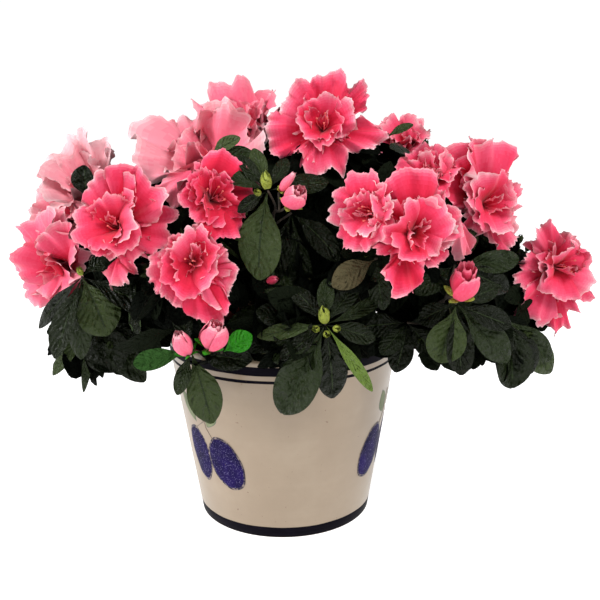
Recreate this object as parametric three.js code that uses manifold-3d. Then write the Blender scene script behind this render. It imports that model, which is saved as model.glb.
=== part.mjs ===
// An azalea shrub growing in its round glazed pot. Millimetres, +Z up.
// The origin is the centre of the pot's flat underside, and -Y is the shrub's front.
// Bearings are degrees round the stem: 0 is +X (right), 90 is the back, 180 left, 270 the front.
import * as THREE from 'three';
import { mergeVertices } from 'three/addons/utils/BufferGeometryUtils.js';
import Module from 'manifold-3d';

const GAP = 0.35; // clear space between pieces that lie against each other
const CLEAN_TOLERANCE = 0.1; // edges shorter than this are closed up after a cut

// Pot: a straight cone with a rounded lip
const POT_HEIGHT = 116;
const POT_FOOT_RADIUS = 53.4;
const POT_RIM_RADIUS = 72;
const POT_WALL = 4.6;
const POT_FLOOR = 6;
const POT_FOOT_BEVEL = 0.8;
const POT_SIDES = 48;
const LIP_STEPS = 4;

// Root ball: fills the pot up to a little under the lip, with a mounded top
const SOIL_EDGE_HEIGHT = 97;
const SOIL_CROWN_HEIGHT = 99.5;
const SOIL_FLAT_RADIUS = 22;
const SOIL_SIDES = 36;

// Stem: short, flared where it leaves the soil, and leaning a little to the right
const STEM_HEIGHT = 26;
const STEM_RADIUS = 7.6;
const STEM_FLARE = 6.5;
const STEM_LEAN = 2.4;
const STEM_FORK_DEPTH = 6; // how far below the stem's top the boughs leave it
const STEM_SIDES = 12;
const STEM_STEPS = 7;

// Boughs: each one tapering limb that ends where it enters its mass of foliage
const BOUGH_SIDES = 7;
const BOUGH_STEPS = 4;
const BOUGH_TIP_SHARE = 0.55; // tip radius as a share of the radius at the root
const BOUGH_REACH = 0.85; // how far a limb runs towards the middle of its mass

// Foliage: uneven closed masses
const MASS_DETAIL = 3;
const MASS_WAVES = 0.03;
const CLUMPS = 11; // rounded clumps of shoots spread evenly over each mass
const CLUMP_GAIN = 0.13;
const CLUMP_SPREAD = 24;

const COLOURS = {
  glaze: 0xcbbfa6,
  soil: 0x33261d,
  bark: 0x5b4a3b,
  foliage: 0x2c3d2b,
};

// The masses. "at" is [bearing, distance out, height] of the middle; "size" is the half extent
// [outwards, sideways, upwards]; each lobe swells the mass towards one group of blooms or a low
// shoot: [bearing, elevation, gain, spread in degrees].
const MASSES = {
  foliage_top: { at: [318, 30, 226], size: [39, 42, 38], lobes: [[300, 62, 0.16, 40]] },
  foliage_left_top: {
    at: [194, 48, 209],
    size: [38, 44, 36],
    lobes: [[52, 60, 0.72, 25], [195, 42, 0.34, 36], [285, 0, 0.2, 30]],
  },
  foliage_right_top: {
    at: [351, 93, 204],
    size: [40, 46, 33],
    lobes: [[345, 25, 0.24, 40], [118, 58, 0.42, 30]],
  },
  foliage_left: {
    at: [177, 110, 184],
    size: [37, 46, 38],
    lobes: [[150, 64, 0.46, 34], [202, -28, 0.4, 34]],
  },
  foliage_right: {
    at: [357, 142, 150],
    size: [36, 42, 36],
    lobes: [[345, 5, 0.3, 42]],
  },
  foliage_front_right: {
    at: [312, 92, 181],
    size: [38, 42, 39],
    lobes: [[285, 20, 0.18, 42], [330, -45, 0.14, 40]],
  },
  foliage_front_left: {
    at: [226, 86, 174],
    size: [38, 42, 38],
    lobes: [[190, 35, 0.22, 40], [292, -44, 0.5, 32]],
  },
  foliage_front: {
    at: [282, 68, 146],
    size: [32, 39, 31],
    lobes: [[266, -60, 0.72, 22], [330, -10, 0.16, 40]],
  },
  foliage_middle: { at: [262, 38, 180], size: [24, 32, 28], lobes: [[240, -20, 0.1, 40]] },
  foliage_left_low: {
    at: [196, 108, 131],
    size: [40, 43, 33],
    lobes: [[215, -62, 0.2, 36], [165, -35, 0.14, 40]],
  },
  foliage_right_low: {
    at: [340, 114, 129],
    size: [41, 43, 31],
    lobes: [[352, -36, 0.5, 28], [215, 5, 0.5, 34]],
  },
  foliage_back_left: {
    at: [134, 103, 165],
    size: [49, 55, 51],
    lobes: [[120, 40, 0.1, 40], [150, -50, 0.16, 40]],
  },
  foliage_back_right: {
    at: [41, 111, 161],
    size: [48, 54, 50],
    lobes: [[20, 35, 0.1, 36], [60, -45, 0.14, 40]],
  },
  foliage_back: {
    at: [86, 107, 157],
    size: [43, 49, 52],
    lobes: [[70, 30, 0.12, 40], [100, -55, 0.14, 36]],
  },
  foliage_back_top: { at: [78, 54, 214], size: [42, 62, 39], lobes: [[110, 50, 0.14, 40]] },
};

// The boughs: the mass each one feeds, the limb it leaves ("stem" or a bough), where along that
// limb it leaves, its radius there, and how much it bows upwards (negative bows downwards).
const BOUGHS = {
  bough_top: { to: 'foliage_top', from: 'stem', radius: 4.4, bow: 4 },
  bough_front_left: { to: 'foliage_front_left', from: 'stem', radius: 4.2, bow: 8 },
  bough_front_right: { to: 'foliage_front_right', from: 'stem', radius: 4.2, bow: 6 },
  bough_right: { to: 'foliage_right', from: 'stem', radius: 4.6, bow: 3 },
  bough_left: { to: 'foliage_left', from: 'stem', radius: 4.6, bow: -5 },
  bough_back: { to: 'foliage_back', from: 'stem', radius: 4.4, bow: 8 },
  bough_back_left: { to: 'foliage_back_left', from: 'stem', radius: 4, bow: 6 },
  bough_back_right: { to: 'foliage_back_right', from: 'stem', radius: 4, bow: 6 },
  bough_front: { to: 'foliage_front', from: 'bough_front_right', leaves: 0.3, radius: 2.8, bow: 4 },
  bough_middle: { to: 'foliage_middle', from: 'bough_front_left', leaves: 0.3, radius: 2.8, bow: 4 },
  bough_left_top: { to: 'foliage_left_top', from: 'bough_top', leaves: 0.3, radius: 3, bow: -5 },
  bough_back_top: { to: 'foliage_back_top', from: 'bough_top', leaves: 0.45, radius: 3, bow: -6 },
  bough_right_top: { to: 'foliage_right_top', from: 'bough_right', leaves: 0.3, radius: 3, bow: -6 },
  bough_right_low: { to: 'foliage_right_low', from: 'bough_right', leaves: 0.42, radius: 2.8, bow: 5 },
  bough_left_low: { to: 'foliage_left_low', from: 'bough_left', leaves: 0.4, radius: 2.8, bow: 5 },
};

const wasm = await Module();
wasm.setup();

// ---------------------------------------------------------------- helpers

function direction(bearing, elevation = 0) {
  const turn = THREE.MathUtils.degToRad(bearing);
  const rise = THREE.MathUtils.degToRad(elevation);
  return new THREE.Vector3(
    Math.cos(rise) * Math.cos(turn),
    Math.cos(rise) * Math.sin(turn),
    Math.sin(rise),
  );
}

// A closed geometry as a manifold solid: vertices merged, empty triangles dropped.
function toSolid(geometry) {
  const bare = geometry.clone();
  bare.deleteAttribute('normal');
  bare.deleteAttribute('uv');
  const merged = mergeVertices(bare, 1e-4);
  const index = merged.index.array;
  const triangles = [];
  for (let i = 0; i < index.length; i += 3) {
    const [a, b, c] = [index[i], index[i + 1], index[i + 2]];
    if (a !== b && b !== c && c !== a) triangles.push(a, b, c);
  }
  const mesh = new wasm.Mesh({
    numProp: 3,
    vertProperties: new Float32Array(merged.attributes.position.array),
    triVerts: new Uint32Array(triangles),
  });
  return new wasm.Manifold(mesh);
}

function toGeometry(solid) {
  const { vertProperties, triVerts } = solid.getMesh();
  const geometry = new THREE.BufferGeometry();
  geometry.setAttribute('position', new THREE.BufferAttribute(vertProperties, 3));
  geometry.setIndex(new THREE.BufferAttribute(triVerts, 1));
  geometry.computeVertexNormals();
  return geometry;
}

// Cutting can shave off slivers: only the main body of a piece is kept, without its tiny edges.
function mainBody(solid) {
  const bodies = solid.decompose();
  const largest = bodies.reduce((best, body) => (body.volume() > best.volume() ? body : best));
  return largest.simplify(CLEAN_TOLERANCE);
}

function cutBy(solid, cutters) {
  return mainBody(cutters.reduce((rest, cutter) => rest.subtract(cutter), solid));
}

// A solid of revolution about Z from [radius, height] pairs that start and end on the axis.
function turned(pairs, sides) {
  const profile = pairs.map(([radius, height]) => new THREE.Vector2(radius, height));
  return new THREE.LatheGeometry(profile, sides).rotateX(Math.PI / 2);
}

// ---------------------------------------------------------------- pot and soil

const potRadiusAt = (height) =>
  POT_FOOT_RADIUS + (POT_RIM_RADIUS - POT_FOOT_RADIUS) * (height / POT_HEIGHT);

function potGeometry() {
  const lip = POT_WALL / 2;
  const lipHeight = POT_HEIGHT - lip;
  const pairs = [
    [0, 0],
    [potRadiusAt(0) - POT_FOOT_BEVEL, 0],
    [potRadiusAt(POT_FOOT_BEVEL), POT_FOOT_BEVEL],
    [potRadiusAt(lipHeight / 2), lipHeight / 2],
  ];
  for (let step = 0; step <= LIP_STEPS; step++) {
    const turn = (step / LIP_STEPS) * Math.PI;
    const middle = potRadiusAt(lipHeight) - lip;
    pairs.push([middle + lip * Math.cos(turn), lipHeight + lip * Math.sin(turn)]);
  }
  pairs.push([potRadiusAt(POT_FLOOR) - POT_WALL, POT_FLOOR], [0, POT_FLOOR]);
  return turned(pairs, POT_SIDES);
}

function soilGeometry() {
  const radiusAt = (height) => potRadiusAt(height) - POT_WALL - GAP * 2;
  return turned(
    [
      [0, POT_FLOOR + GAP],
      [radiusAt(POT_FLOOR) - GAP, POT_FLOOR + GAP],
      [radiusAt(SOIL_EDGE_HEIGHT), SOIL_EDGE_HEIGHT],
      [SOIL_FLAT_RADIUS, SOIL_CROWN_HEIGHT],
      [0, SOIL_CROWN_HEIGHT],
    ],
    SOIL_SIDES,
  );
}

// The pot's outer shape, its inside and its lip as one plug that the foliage keeps clear of.
function potClearance() {
  const grow = GAP * 1.4;
  return toSolid(
    turned(
      [
        [0, -1],
        [potRadiusAt(0) + grow, -1],
        [potRadiusAt(POT_HEIGHT) + grow, POT_HEIGHT],
        [potRadiusAt(POT_HEIGHT) - POT_WALL / 2, POT_HEIGHT + grow],
        [0, POT_HEIGHT + grow],
      ],
      POT_SIDES,
    ),
  );
}

// ---------------------------------------------------------------- limbs

// A round limb: a turned profile of unit length, bent along a curve. radiusAt takes 0 to 1, and
// overrun lengthens both ends.
function limbGeometry(curve, radiusAt, steps, sides, overrun) {
  const profile = [new THREE.Vector2(0, 0)];
  for (let step = 0; step <= steps; step++) {
    profile.push(new THREE.Vector2(radiusAt(step / steps), step / steps));
  }
  profile.push(new THREE.Vector2(0, 1));
  const geometry = new THREE.LatheGeometry(profile, sides);
  const frames = curve.computeFrenetFrames(steps);
  const position = geometry.attributes.position;
  for (let i = 0; i < position.count; i++) {
    const along = position.getY(i);
    const frame = Math.round(along * steps);
    const across = frames.normals[frame];
    const tangent = frames.tangents[frame];
    const third = across.clone().cross(tangent);
    const end = along === 0 ? -overrun : along === 1 ? overrun : 0;
    const point = curve
      .getPointAt(along)
      .addScaledVector(tangent, end)
      .addScaledVector(across, position.getX(i))
      .addScaledVector(third, position.getZ(i));
    position.setXYZ(i, point.x, point.y, point.z);
  }
  return geometry;
}

const stemFoot = new THREE.Vector3(0, 0, SOIL_CROWN_HEIGHT + GAP);
const stemHead = new THREE.Vector3(STEM_LEAN, 0, stemFoot.z + STEM_HEIGHT);

function stemSolid(grow = 0) {
  const knee = stemFoot.clone().setZ(stemFoot.z + STEM_HEIGHT / 2);
  const curve = new THREE.QuadraticBezierCurve3(stemFoot, knee, stemHead);
  const radiusAt = (along) => {
    const shoulder = Math.sqrt(Math.max(0.3, 1 - Math.max(0, along - 0.75) ** 2 * 12));
    return (STEM_RADIUS + STEM_FLARE * Math.exp(-along * 6)) * shoulder + grow;
  };
  return toSolid(limbGeometry(curve, radiusAt, STEM_STEPS, STEM_SIDES, grow));
}

const massMiddle = ({ at: [bearing, out, height] }) =>
  direction(bearing).multiplyScalar(out).setZ(height);

// Each bough's line from the limb that it leaves towards the middle of its mass.
function boughCurves() {
  const curves = {};
  for (const [name, { to, from, leaves, bow }] of Object.entries(BOUGHS)) {
    const onStem = stemHead.clone().setZ(stemHead.z - STEM_FORK_DEPTH);
    const start = from === 'stem' ? onStem : curves[from].getPointAt(leaves);
    const end = start.clone().lerp(massMiddle(MASSES[to]), BOUGH_REACH);
    const middle = start.clone().lerp(end, 0.45).add(new THREE.Vector3(0, 0, bow));
    curves[name] = new THREE.CatmullRomCurve3([start, middle, end]);
  }
  return curves;
}

function boughSolid(curve, radius, grow = 0) {
  const radiusAt = (along) => radius * (1 - (1 - BOUGH_TIP_SHARE) * along) + grow;
  return toSolid(limbGeometry(curve, radiusAt, BOUGH_STEPS, BOUGH_SIDES, grow));
}

// ---------------------------------------------------------------- foliage

// A ball of triangles pushed out to the mass's half extents, its lobes and a slow unevenness.
function massSolid({ at, size, lobes }, order, grow = 0) {
  const geometry = new THREE.IcosahedronGeometry(1, MASS_DETAIL);
  const middle = massMiddle({ at });
  const outwards = direction(at[0]);
  const sideways = direction(at[0] + 90);
  const swellings = [...lobes, ...clumps(order)];
  const aims = swellings.map(([bearing, elevation]) => direction(bearing, elevation));
  const position = geometry.attributes.position;
  for (let i = 0; i < position.count; i++) {
    const unit = new THREE.Vector3().fromBufferAttribute(position, i).normalize();
    let reach = 1 - CLUMP_GAIN / 2 + MASS_WAVES * unevenness(unit, order);
    swellings.forEach(([, , gain, spread], n) => {
      const apart = THREE.MathUtils.radToDeg(unit.angleTo(aims[n])) / spread;
      reach += gain * Math.exp(-apart * apart);
    });
    const point = middle
      .clone()
      .addScaledVector(outwards, unit.dot(outwards) * size[0] * reach)
      .addScaledVector(sideways, unit.dot(sideways) * size[1] * reach);
    point.z += unit.z * size[2] * reach;
    point.addScaledVector(unit, grow);
    position.setXYZ(i, point.x, point.y, point.z);
  }
  return toSolid(geometry);
}

// Evenly spread lobes by the golden angle, turned differently for each mass.
function clumps(order) {
  const goldenAngle = 137.5;
  return Array.from({ length: CLUMPS }, (_, n) => {
    const elevation = THREE.MathUtils.radToDeg(Math.asin(1 - (2 * n + 1) / CLUMPS));
    return [goldenAngle * n + 47 * order, elevation, CLUMP_GAIN, CLUMP_SPREAD];
  });
}

// Three slow waves over the ball, different for each mass.
const unevenness = (unit, order) =>
  Math.sin(5 * unit.x + 2.1 * order) +
  Math.sin(6 * unit.y - 1.3 * order) +
  Math.cos(7 * unit.z + 3.7 * order);

// ---------------------------------------------------------------- assembly

const shrub = new THREE.Group();

function addMesh(name, geometry, colour, roughness) {
  const material = new THREE.MeshStandardMaterial({ color: colour, roughness, metalness: 0 });
  const mesh = new THREE.Mesh(geometry, material);
  mesh.name = name;
  shrub.add(mesh);
}

addMesh('pot', toGeometry(toSolid(potGeometry())), COLOURS.glaze, 0.35);
addMesh('soil', toGeometry(toSolid(soilGeometry())), COLOURS.soil, 1);
addMesh('stem', toGeometry(stemSolid()), COLOURS.bark, 0.9);

const curves = boughCurves();
const limbCutters = { stem: stemSolid(GAP) };
for (const [name, { radius }] of Object.entries(BOUGHS)) {
  limbCutters[name] = boughSolid(curves[name], radius, GAP);
}

// Masses stay clear of the pot, of earlier masses and of every limb but their own bough.
const massCutters = {};
const potPlug = potClearance();
Object.entries(MASSES).forEach(([name, mass], order) => {
  const limbs = Object.keys(limbCutters).filter((limb) => limb === 'stem' || BOUGHS[limb].to !== name);
  const cutters = [potPlug, ...limbs.map((limb) => limbCutters[limb]), ...Object.values(massCutters)];
  const solid = cutBy(massSolid(mass, order), cutters);
  massCutters[name] = massSolid(mass, order, GAP * 1.3);
  addMesh(name, toGeometry(solid), COLOURS.foliage, 0.8);
});

// Boughs start at the face of the limb they leave and end at the face of their mass.
const placed = [];
for (const [name, { to, radius }] of Object.entries(BOUGHS)) {
  const cutters = [limbCutters.stem, ...placed.map((limb) => limbCutters[limb]), massCutters[to]];
  const solid = cutBy(boughSolid(curves[name], radius), cutters);
  placed.push(name);
  addMesh(name, toGeometry(solid), COLOURS.bark, 0.9);
}

export default shrub;
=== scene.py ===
"""An azalea shrub in its glazed pot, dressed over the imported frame.

Lengths are in millimetres, +Z up, with the front at -Y; the finished meshes are in metres. Bearings are
degrees round the stem: 0 is +X (right), 90 the back, 180 left and 270 the front.
"""

from math import asin, cos, degrees, exp, pi, radians, sin, sqrt

import bpy
import numpy as np
from numpy.linalg import norm
from mathutils import Matrix, Vector
from mathutils.bvhtree import BVHTree


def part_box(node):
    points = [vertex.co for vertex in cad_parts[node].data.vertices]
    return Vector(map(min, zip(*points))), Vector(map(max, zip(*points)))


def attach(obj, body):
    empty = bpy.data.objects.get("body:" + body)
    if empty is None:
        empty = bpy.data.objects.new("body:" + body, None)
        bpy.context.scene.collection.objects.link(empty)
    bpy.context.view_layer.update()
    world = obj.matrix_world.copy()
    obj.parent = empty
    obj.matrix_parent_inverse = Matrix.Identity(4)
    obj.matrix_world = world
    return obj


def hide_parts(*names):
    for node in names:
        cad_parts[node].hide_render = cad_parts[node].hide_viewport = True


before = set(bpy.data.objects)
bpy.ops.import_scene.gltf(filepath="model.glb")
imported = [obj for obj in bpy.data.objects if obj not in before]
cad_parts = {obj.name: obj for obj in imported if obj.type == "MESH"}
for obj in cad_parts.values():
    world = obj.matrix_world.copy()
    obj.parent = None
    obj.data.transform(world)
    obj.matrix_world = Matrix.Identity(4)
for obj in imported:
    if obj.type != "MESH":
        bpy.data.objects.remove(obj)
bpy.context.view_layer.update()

MM = 0.001
GOLDEN_DEGREES = 137.508
GOLDEN_ANGLE = radians(GOLDEN_DEGREES)
PIECE_TRIANGLES = 180_000  # a joined piece is closed before it passes this

# ---- small tools


def unit(v):
    v = np.asarray(v, float)
    return v / norm(v)


def direction(bearing, elevation=0.0):
    """The unit vector at a bearing and an elevation, both in degrees."""
    turn, rise = radians(bearing), radians(elevation)
    return np.array([cos(rise) * cos(turn), cos(rise) * sin(turn), sin(rise)])


def smooth(low, high, x):
    """0 below low, 1 above high, and a smooth step between."""
    t = np.clip((x - low) / (high - low), 0.0, 1.0)
    return t * t * (3 - 2 * t)


def mix(a, b, t):
    return a + (b - a) * t


def axes_from(along, up=(0.0, 0.0, 1.0)):
    """Rows: along, a right-handed side, and the part of up square to along."""
    x = unit(along)
    z = np.asarray(up, float) - x * np.dot(up, x)
    if norm(z) < 1e-6:
        z = np.cross(x, (0.3, 0.7, 0.6))
    z = unit(z)
    return np.array([x, np.cross(z, x), z])


def around(axes, turn):
    """Directions square to the first axis, turned from the second towards the third."""
    return np.cos(turn)[..., None] * axes[1] + np.sin(turn)[..., None] * axes[2]


def rotated(x, y, turn):
    return x * np.cos(turn) - y * np.sin(turn), x * np.sin(turn) + y * np.cos(turn)


def turns_of(sides):
    return np.arange(sides) * 2 * pi / sides


def grid_faces(rows, cols, wrap=False):
    """Quads over a grid of rows by cols cells whose points run row by row."""
    across = cols if wrap else cols + 1
    r, c = np.meshgrid(np.arange(rows), np.arange(cols), indexing="ij")
    right = (c + 1) % across
    quads = [r * across + c, r * across + right, (r + 1) * across + right, (r + 1) * across + c]
    return np.stack(quads, -1).reshape(-1, 4)


def share_grid(cells, ease=1.0, start=0.0):
    """Shares along a blade, closer together at its tip, and across it from -1 to 1."""
    rows, cols = cells
    along = start + (1 - start) * (1 - (1 - np.linspace(0, 1, rows + 1)) ** ease)
    return np.meshgrid(along, np.linspace(-1, 1, cols + 1), indexing="ij")


def box_of(name):
    return [np.array(corner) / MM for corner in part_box(name)]


def node_points(name):
    """The vertices of a CAD node."""
    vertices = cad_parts[name].data.vertices
    co = np.zeros(len(vertices) * 3)
    vertices.foreach_get("co", co)
    return co.reshape(-1, 3) / MM


class Heap:
    """Many small meshes of one kind, joined into as few pieces as the triangle limit lets."""

    def __init__(self, name, slot, materials):
        self.name, self.slot, self.materials = name, slot, materials
        self.parts, self.triangles = [[]], 0

    def add(self, points, faces, tones, uv=None):
        """Quads with the number of a material each, and a place on the blade for each point."""
        if self.triangles + 2 * len(faces) > PIECE_TRIANGLES:
            self.parts.append([])
            self.triangles = 0
        self.triangles += 2 * len(faces)
        self.parts[-1].append((points, faces, np.broadcast_to(tones, len(faces)), uv))

    def add_grid(self, points, tones, uv=None, wrap=False):
        """A sheet over points in rows and columns; a wrapped one closes on itself."""
        rows, cols = points.shape[:2]
        self.add(points.reshape(-1, 3), grid_faces(rows - 1, cols if wrap else cols - 1, wrap), tones, uv)

    def pieces(self):
        count = len(self.parts)
        names = [self.name] if count == 1 else [f"{self.name}_{n + 1}" for n in range(count)]
        return [self.piece(name, blocks) for name, blocks in zip(names, self.parts)]

    def piece(self, name, blocks):
        points, faces, tones, uvs = zip(*blocks)
        starts = np.cumsum([0, *map(len, points)])
        loops = np.concatenate([f + s for f, s in zip(faces, starts)]).astype(np.int32).ravel()
        count = len(loops) // 4
        mesh = bpy.data.meshes.new(name)
        mesh.vertices.add(starts[-1])
        mesh.loops.add(len(loops))
        mesh.polygons.add(count)
        mesh.vertices.foreach_set("co", (np.concatenate(points) * MM).astype(np.float32).ravel())
        mesh.loops.foreach_set("vertex_index", loops)
        mesh.polygons.foreach_set("loop_start", np.arange(count, dtype=np.int32) * 4)
        mesh.polygons.foreach_set("loop_total", np.full(count, 4, np.int32))
        mesh.polygons.foreach_set("material_index", np.concatenate(tones).astype(np.int32))
        mesh.polygons.foreach_set("use_smooth", np.ones(count, bool))
        if uvs[0] is not None:
            uv = np.concatenate(uvs)[loops].astype(np.float32)
            mesh.uv_layers.new(name="blade").data.foreach_set("uv", uv.ravel())
        for material in self.materials:
            mesh.materials.append(material)
        mesh.update(calc_edges=True)
        mesh.validate()
        piece = bpy.data.objects.new(name, mesh)
        bpy.context.scene.collection.objects.link(piece)
        return piece


# ---- materials


def rgba(colour):
    """What a colour socket takes, from a display colour (three numbers, 0 to 255) or one linear grey.

    A colour of four numbers is linear already.
    """
    if isinstance(colour, float):
        return (colour, colour, colour, 1)
    if len(colour) == 4:
        return colour
    shares = [c / 255 for c in colour]
    return (*(s / 12.92 if s <= 0.04045 else ((s + 0.055) / 1.055) ** 2.4 for s in shares), 1)


class Nodes:
    """A node tree, and the few kinds of node that the looks are made of."""

    def __init__(self, tree):
        self.tree = tree

    def give(self, socket, value):
        """Links a socket to another, or sets its plain value."""
        if isinstance(value, bpy.types.NodeSocket):
            self.tree.links.new(value, socket)
        else:
            socket.default_value = value

    def node(self, kind, **values):
        """A node; each keyword is a socket to set or link, or a setting of the node's own."""
        made = self.tree.nodes.new("ShaderNode" + kind)
        for key, value in values.items():
            if key in made.inputs:
                self.give(made.inputs[key], value)
            else:
                setattr(made, key, value)
        return made

    def math(self, operation, *values):
        made = self.node("Math", operation=operation)
        for socket, value in zip(made.inputs, values):
            self.give(socket, value)
        return made.outputs[0]

    def noise(self, scale, detail=3.0, roughness=0.55, stretch=(1, 1, 1)):
        """A noise over the object's own coordinates, in metres."""
        place = self.node("TexCoord").outputs["Object"]
        place = self.node("Mapping", Vector=place, Scale=stretch).outputs["Vector"]
        grain = self.node("TexNoise", Vector=place, Scale=scale, Detail=detail, Roughness=roughness)
        return grain.outputs["Fac"]

    def ramp(self, factor, *stops):
        """A colour ramp with (position, colour) stops."""
        made = self.node("ValToRGB", Fac=factor)
        elements = made.color_ramp.elements
        while len(elements) < len(stops):
            elements.new(0.5)
        for element, (position, colour) in zip(elements, stops):
            element.position, element.color = position, rgba(colour)
        return made.outputs["Color"]

    def laid_over(self, factor, under, colour):
        """An even colour laid over another by a mask."""
        made = self.node("Mix", data_type="RGBA", Factor=factor)
        self.give(made.inputs[6], under)
        self.give(made.inputs[7], rgba(colour))
        return made.outputs[2]


class Surface(Nodes):
    """A material on one Principled shader, with plain values on its own sockets."""

    def __init__(self, name, colour, roughness, **sockets):
        self.material = bpy.data.materials.new(name)
        self.material.use_nodes = True
        super().__init__(self.material.node_tree)
        self.shader = self.tree.nodes["Principled BSDF"]
        sockets.update(Base_Color=rgba(colour), Roughness=roughness)
        for socket, value in sockets.items():
            self.shader.inputs[socket.replace("_", " ")].default_value = value

    def paint(self, colour):
        self.give(self.shader.inputs["Base Color"], colour)

    def relief(self, *layers):
        """Stacked bumps: each layer is a height socket, a depth in metres and a strength."""
        under = None
        for height, depth, strength in layers:
            bump = self.node("Bump", Strength=strength, Distance=depth, Height=height)
            if under:
                self.give(bump.inputs["Normal"], under)
            under = bump.outputs["Normal"]
        self.give(self.shader.inputs["Normal"], under)


# Blossom: one run of plain tones, from the deep throat, partly painted shade, to the pale frilled edge.
BLOSSOM_STOPS = (
    (0.00, (146, 8, 34)),
    (0.14, (188, 14, 48)),
    (0.30, (205, 28, 62)),
    (0.44, (214, 52, 87)),
    (0.58, (221, 82, 113)),
    (0.74, (224, 121, 140)),
    (0.86, (227, 153, 163)),
    (1.00, (232, 192, 196)),
)
BLOSSOM_TONES = 30
PETAL_GLOSS = {"Sheen_Weight": 0.15, "Sheen_Roughness": 0.5, "Specular_IOR_Level": 0.12}


def blossom_materials():
    positions, colours = zip(*BLOSSOM_STOPS)
    colours = np.array([rgba(colour) for colour in colours])
    made = []
    for tone in range(BLOSSOM_TONES):
        at = tone / (BLOSSOM_TONES - 1)
        colour = [float(np.interp(at, positions, share)) for share in colours.T]
        surface = Surface(f"petal_{tone:02d}", colour, 0.6, **PETAL_GLOSS)
        surface.relief((surface.noise(420), 0.0006, 0.35))
        made.append(surface.material)
    return made


LEAF_TOPS = ((15, 20, 8), (22, 29, 13), (32, 41, 20), (50, 61, 32), (17, 22, 10), (66, 78, 46))
LEAF_UNDERSIDES = ((58, 70, 46), (66, 64, 46), (76, 70, 50), (42, 72, 32))
LEAF_YOUNG = ((42, 124, 24), (92, 114, 48), (146, 156, 66))
# Painted shade: near-black greens that stand in for the crown's shadow on leaves deep inside it.
LEAF_PAINTED_SHADE = ((8, 11, 7), (12, 16, 10), (17, 22, 13))
LEAF_RIB = (38, 48, 27)
UNDERSIDE = len(LEAF_TOPS)
YOUNG = UNDERSIDE + len(LEAF_UNDERSIDES)
PAINTED_SHADE = YOUNG + len(LEAF_YOUNG)
RIB = PAINTED_SHADE + len(LEAF_PAINTED_SHADE)
VEIN_PAIRS, VEIN_SWEEP = 8, 0.30


def leaf_materials():
    """Plain greens, the darkest of them painted shade; the side veins' relief follows each blade's
    coordinates.
    """
    made = []
    for number, colour in enumerate((*LEAF_TOPS, *LEAF_UNDERSIDES, *LEAF_YOUNG, *LEAF_PAINTED_SHADE, LEAF_RIB)):
        dull = UNDERSIDE <= number < YOUNG or PAINTED_SHADE <= number < RIB
        roughness, gloss = (0.7, 0.02) if dull else (0.21, 0.11)
        surface = Surface(f"leaf_{number:02d}", colour, roughness, Specular_IOR_Level=gloss)
        place = surface.node("UVMap", uv_map="blade").outputs["UV"]
        place = surface.node("SeparateXYZ", Vector=place).outputs
        swept = surface.math("MULTIPLY_ADD", surface.math("ABSOLUTE", place["Y"]), -VEIN_SWEEP, place["X"])
        veins = surface.math("SINE", surface.math("MULTIPLY", swept, 2 * pi * VEIN_PAIRS))
        dents, grain = surface.noise(110, 1), surface.noise(300, 3, 0.6)
        surface.relief((veins, 0.0008, 0.42), (dents, 0.008, 0.7), (grain, 0.003, 0.9))
        made.append(surface.material)
    return made


def bark_material(name="bark", shade=1.0):
    # A shade below 1 darkens every tone as painted shade, for bark deep in the crown.
    tones = [rgba(tone) for tone in ((40, 32, 24), (78, 62, 46), (120, 100, 78))]
    tones = [(*(c * shade for c in tone[:3]), 1) for tone in tones]
    surface = Surface(name, tones[1], 0.9)
    grain = surface.noise(420, 5, 0.65, (1, 1, 0.3))
    surface.paint(surface.ramp(grain, *zip((0.32, 0.52, 0.75), tones)))
    surface.relief((grain, 0.0015, 0.8), (surface.noise(1500, 2), 0.0004, 0.6))
    return surface.material


def soil_material():
    surface = Surface("peat", (44, 32, 24), 0.95)
    grain = surface.noise(600, 6, 0.7)
    surface.paint(surface.ramp(grain, (0.35, (24, 17, 13)), (0.55, (52, 38, 28)), (0.8, (96, 74, 54))))
    surface.relief((grain, 0.002, 0.9))
    return surface.material


def glaze_material():
    """Cream satin glaze: soft mottling, faint throwing rings and a few iron specks."""
    cream = (144, 126, 105)
    surface = Surface("cream_glaze", cream, 0.36, Coat_Weight=0.25, Coat_Roughness=0.18)
    mottle, rings = surface.noise(26, 4, 0.6), surface.noise(60, 2, 0.5, (0.05, 0.05, 3))
    base = surface.ramp(mottle, (0.30, (138, 120, 99)), (0.52, cream), (0.75, (153, 136, 115)))
    ringed = surface.laid_over(surface.ramp(rings, (0.40, 0.0), (0.66, 0.16)), base, (135, 117, 95))
    specks = surface.ramp(surface.noise(520, 2, 0.5), (0.735, 0.0), (0.765, 0.8))
    surface.paint(surface.laid_over(specks, ringed, (104, 74, 50)))
    surface.relief((surface.noise(34, 2), 0.004, 0.10), (rings, 0.001, 0.12))
    return surface.material


def band_material():
    surface = Surface("navy_band", (12, 9, 17), 0.5, Specular_IOR_Level=0.02)
    strokes = surface.noise(90, 4, 0.6, (1, 1, 4))
    surface.paint(surface.ramp(strokes, (0.3, (8, 6, 12)), (0.6, (13, 10, 19)), (0.85, (30, 25, 34))))
    surface.relief((surface.noise(60, 2), 0.002, 0.12))
    return surface.material


def plum_materials():
    """A speckled violet body and a darker outline."""
    body = Surface("plum_paint", (26, 18, 68), 0.5, Specular_IOR_Level=0.04)
    wash = body.ramp(body.noise(70), (0.35, (11, 8, 42)), (0.7, (32, 20, 78)))
    flecks = body.ramp(body.noise(1300, 3, 0.7), (0.58, 0.0), (0.70, 0.75))
    body.paint(body.laid_over(flecks, wash, (148, 138, 184)))
    body.relief((body.noise(700, 2), 0.0004, 0.4))
    edge = Surface("plum_outline", (26, 18, 44), 0.42, Specular_IOR_Level=0.15)
    edge.paint(edge.ramp(edge.noise(600), (0.46, (24, 17, 46)), (0.66, (128, 114, 108))))
    return [body.material, edge.material]


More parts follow.
